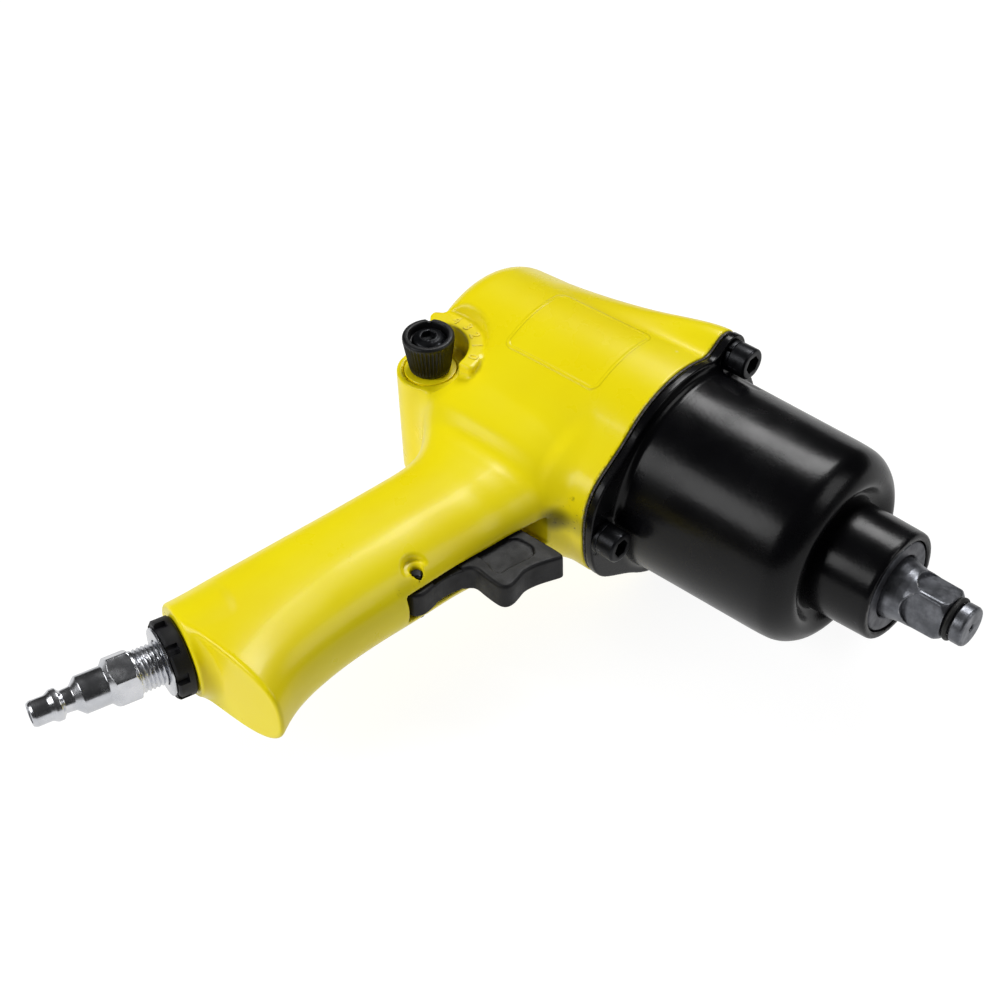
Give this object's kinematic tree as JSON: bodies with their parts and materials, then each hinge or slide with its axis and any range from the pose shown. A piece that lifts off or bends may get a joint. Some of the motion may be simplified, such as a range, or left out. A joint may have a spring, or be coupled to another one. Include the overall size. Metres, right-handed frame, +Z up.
{
  "type": "air impact wrench",
  "caption": "Pistol-handle air impact wrench with a square drive, round hammer case, power regulator knob, lever trigger and plug-type air inlet.",
  "frame": {"origin": "centre of the motor housing's flat rear face, on the drive axis", "axes": "+X forward along the drive axis, out through the square drive; +Y towards the tool's top, so the handle hangs towards -Y and leans back; +Z towards the tool's right side, where the regulator knob is. With +Z up the tool lies on its left side."},
  "size_m": [0.1908, 0.2332, 0.0752],
  "materials": {
    "yellow_paint": "gloss",
    "black_paint": "gloss",
    "black_oxide": "satin",
    "black_plastic": "satin",
    "rubber": "matte",
    "phosphated_steel": "satin",
    "steel": "satin",
    "iron": "satin",
    "nickel_plate": "gloss",
    "brass": "satin",
    "bushing_metal": "satin",
    "vane_fibre": "matte",
    "gasket_paper": "matte"
  },
  "bodies": {
    "tool_body": {"motor_housing": "yellow_paint", "valve_sleeve": "yellow_paint", "hammer_case": "black_paint", "flange_gasket": "gasket_paper", "case_screw_1": "black_oxide", "case_screw_2": "black_oxide", "case_screw_3": "black_oxide", "spring_washer_1": "black_oxide", "spring_washer_2": "black_oxide", "spring_washer_3": "black_oxide", "anvil_bushing": "bushing_metal", "motor_cylinder": "iron", "front_end_plate": "iron", "rear_end_plate": "iron", "front_bearing": "steel", "rear_bearing": "steel", "cylinder_dowel": "steel", "trigger_pin": "steel", "throttle_guide": "brass", "throttle_o_ring": "rubber", "throttle_spring": "steel", "inlet_bushing": "nickel_plate", "inlet_o_ring": "rubber", "inlet_screen": "steel", "exhaust_deflector": "black_plastic", "air_nipple": "nickel_plate"},
    "motor_rotor": {"rotor": "steel", "rotor_vane_1": "vane_fibre", "rotor_vane_2": "vane_fibre", "rotor_vane_3": "vane_fibre", "rotor_vane_4": "vane_fibre", "rotor_vane_5": "vane_fibre", "rotor_vane_6": "vane_fibre"},
    "cage": {"hammer_cage": "iron", "hammer_pin_upper": "steel", "hammer_pin_lower": "steel"},
    "rear_hammer": {"hammer_ring_rear": "steel"},
    "front_hammer": {"hammer_ring_front": "steel"},
    "drive_anvil": {"anvil": "phosphated_steel", "friction_ring": "rubber"},
    "trigger_lever": {"trigger": "black_plastic"},
    "throttle_valve": {"throttle_stem": "steel"},
    "regulator": {"regulator_knob": "black_plastic", "knob_screw": "black_oxide", "regulator_spool": "steel", "spool_o_ring": "rubber"}
  },
  "joints": [
    {"name": "rotor_spin", "type": "hinge", "parent": "tool_body", "child": "motor_rotor", "pos_m": [0.049, 0, 0], "axis": [1, 0, 0], "continuous": true},
    {"name": "cage_spin", "type": "hinge", "parent": "tool_body", "child": "cage", "pos_m": [0.1087, 0, 0], "axis": [1, 0, 0], "continuous": true},
    {"name": "anvil_spin", "type": "hinge", "parent": "tool_body", "child": "drive_anvil", "pos_m": [0.166, 0, 0], "axis": [1, 0, 0], "continuous": true},
    {"name": "rear_hammer_swing", "type": "hinge", "parent": "cage", "child": "rear_hammer", "pos_m": [0.1009, 0.0226, 0], "axis": [1, 0, 0], "range_deg": [0, 5.5]},
    {"name": "front_hammer_swing", "type": "hinge", "parent": "cage", "child": "front_hammer", "pos_m": [0.1164, -0.0226, 0], "axis": [1, 0, 0], "range_deg": [0, 5.5]},
    {"name": "trigger_pull", "type": "hinge", "parent": "tool_body", "child": "trigger_lever", "pos_m": [0.0615, -0.092, 0], "axis": [0, 0, 1], "range_deg": [0, 7]},
    {"name": "throttle_slide", "type": "slide", "parent": "tool_body", "child": "throttle_valve", "axis": [-1, 0, 0], "range_m": [0, 0.0033], "deforming": ["throttle_spring"]},
    {"name": "regulator_turn", "type": "hinge", "parent": "tool_body", "child": "regulator", "pos_m": [0.0105, -0.031, 0.019], "axis": [0, 0, 1], "range_deg": [-120, 0]}
  ],
  "couplings": [
    {"joint": "cage_spin", "follows": "rotor_spin", "ratio": 1},
    {"joint": "anvil_spin", "follows": "rotor_spin", "ratio": 1},
    {"joint": "throttle_slide", "follows": "trigger_pull", "m_per_rad": 0.0262}
  ]
}
